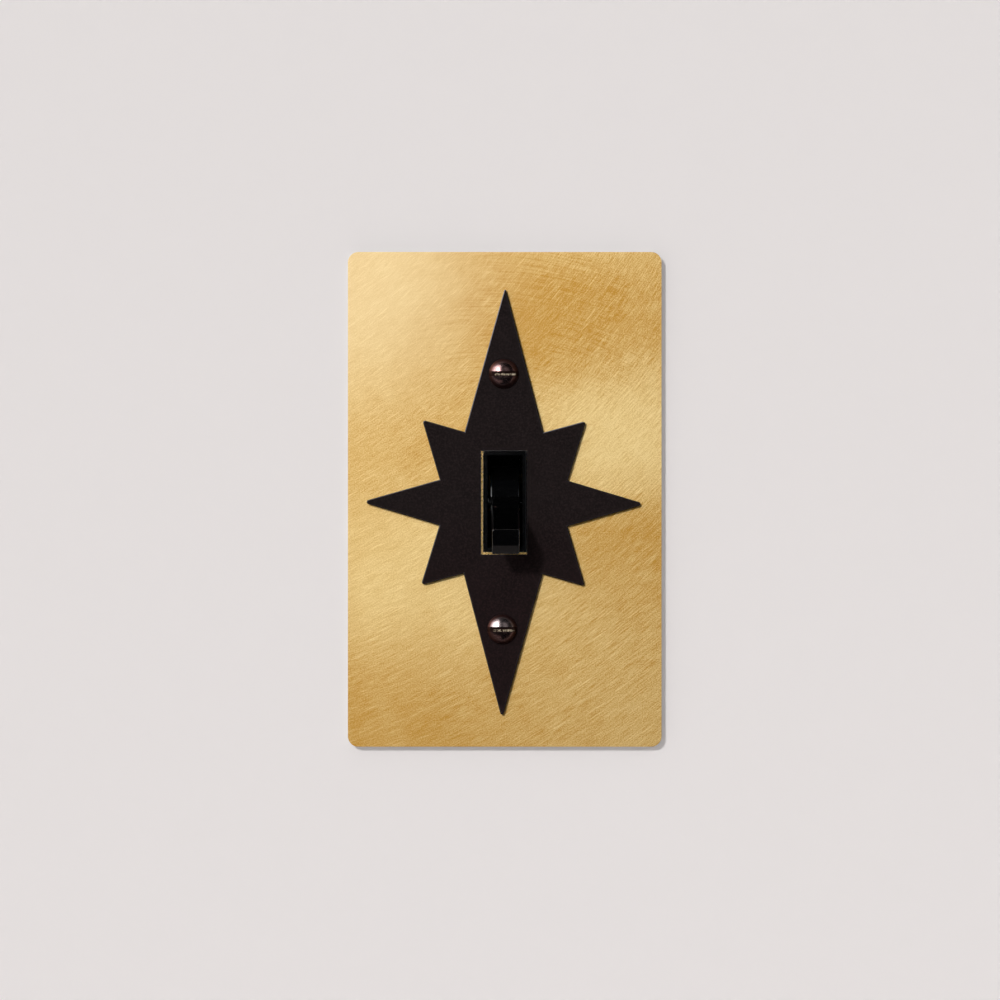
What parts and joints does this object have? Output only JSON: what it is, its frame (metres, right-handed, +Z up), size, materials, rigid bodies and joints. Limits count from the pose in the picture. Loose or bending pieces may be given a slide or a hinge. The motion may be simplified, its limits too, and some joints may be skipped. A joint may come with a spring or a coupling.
{
  "type": "toggle wall switch",
  "caption": "Single-pole toggle light switch with a strap for a one-gang wall box, behind a brushed brass wall plate with a dark star-shaped overlay.",
  "frame": {"origin": "on the wall plane, behind the centre of the toggle's collar", "axes": "+Z up the wall, -Y out of the wall towards the user, +X to the user's right"},
  "size_m": [0.0742, 0.0461, 0.117],
  "materials": {
    "brushed_brass_plate": "brushed in sweeping arcs, lacquered",
    "dark_bronze_overlay": "fine-textured matte, near black",
    "bronze_plate_screws": "dark oil-rubbed bronze, worn in the slot",
    "zinc_strap": "zinc plated, satin",
    "zinc_box_screws": "zinc plated",
    "fibre_retainers": "pressed fibre",
    "brass_rivets": "rolled over",
    "black_housing": "glossy moulded",
    "grey_housing": "satin moulded",
    "black_toggle": "glossy moulded",
    "nylon_plunger": "natural nylon",
    "spring_steel": "drawn wire",
    "rubber_bumpers": "soft",
    "brass_rocker": "stamped",
    "silver_moving_contact": "satin silver",
    "steel_pin": "ground",
    "brass_line_terminal": "stamped",
    "brass_load_terminal": "stamped",
    "silver_fixed_contact": "satin silver",
    "brass_line_screw": "machined",
    "brass_load_screw": "machined",
    "green_ground_screw": "green dyed zinc",
    "stainless_leaves": "spring temper"
  },
  "bodies": {
    "switch_body": {"wall_plate": "brushed_brass_plate", "star_overlay": "dark_bronze_overlay", "plate_screws": "bronze_plate_screws", "mounting_strap": "zinc_strap", "box_screws": "zinc_box_screws", "screw_retainers": "fibre_retainers", "assembly_rivets": "brass_rivets", "front_housing": "black_housing", "rear_housing": "grey_housing", "toggle_bumpers": "rubber_bumpers", "rocker_pin": "steel_pin", "line_terminal": "brass_line_terminal", "load_terminal": "brass_load_terminal", "fixed_contact": "silver_fixed_contact", "line_terminal_screw": "brass_line_screw", "load_terminal_screw": "brass_load_screw", "ground_screw": "green_ground_screw", "push_in_springs": "stainless_leaves"},
    "toggle": {"toggle_lever": "black_toggle", "spring_plunger": "nylon_plunger", "toggle_spring": "spring_steel"},
    "rocker": {"contact_rocker": "brass_rocker", "moving_contact": "silver_moving_contact"}
  },
  "joints": [
    {"name": "toggle_throw", "type": "hinge", "parent": "switch_body", "child": "toggle", "pos_m": [0, 0.0026, 0], "axis": [-1, 0, 0], "range_deg": [0, 49], "deforming": ["toggle_spring", "spring_plunger"]},
    {"name": "rocker_tilt", "type": "hinge", "parent": "switch_body", "child": "rocker", "pos_m": [0, 0.015, 0], "axis": [1, 0, 0], "range_deg": [0, 16]}
  ],
  "couplings": [
    {"joint": "rocker_tilt", "follows": "toggle_throw", "ratio": 0.3265}
  ]
}
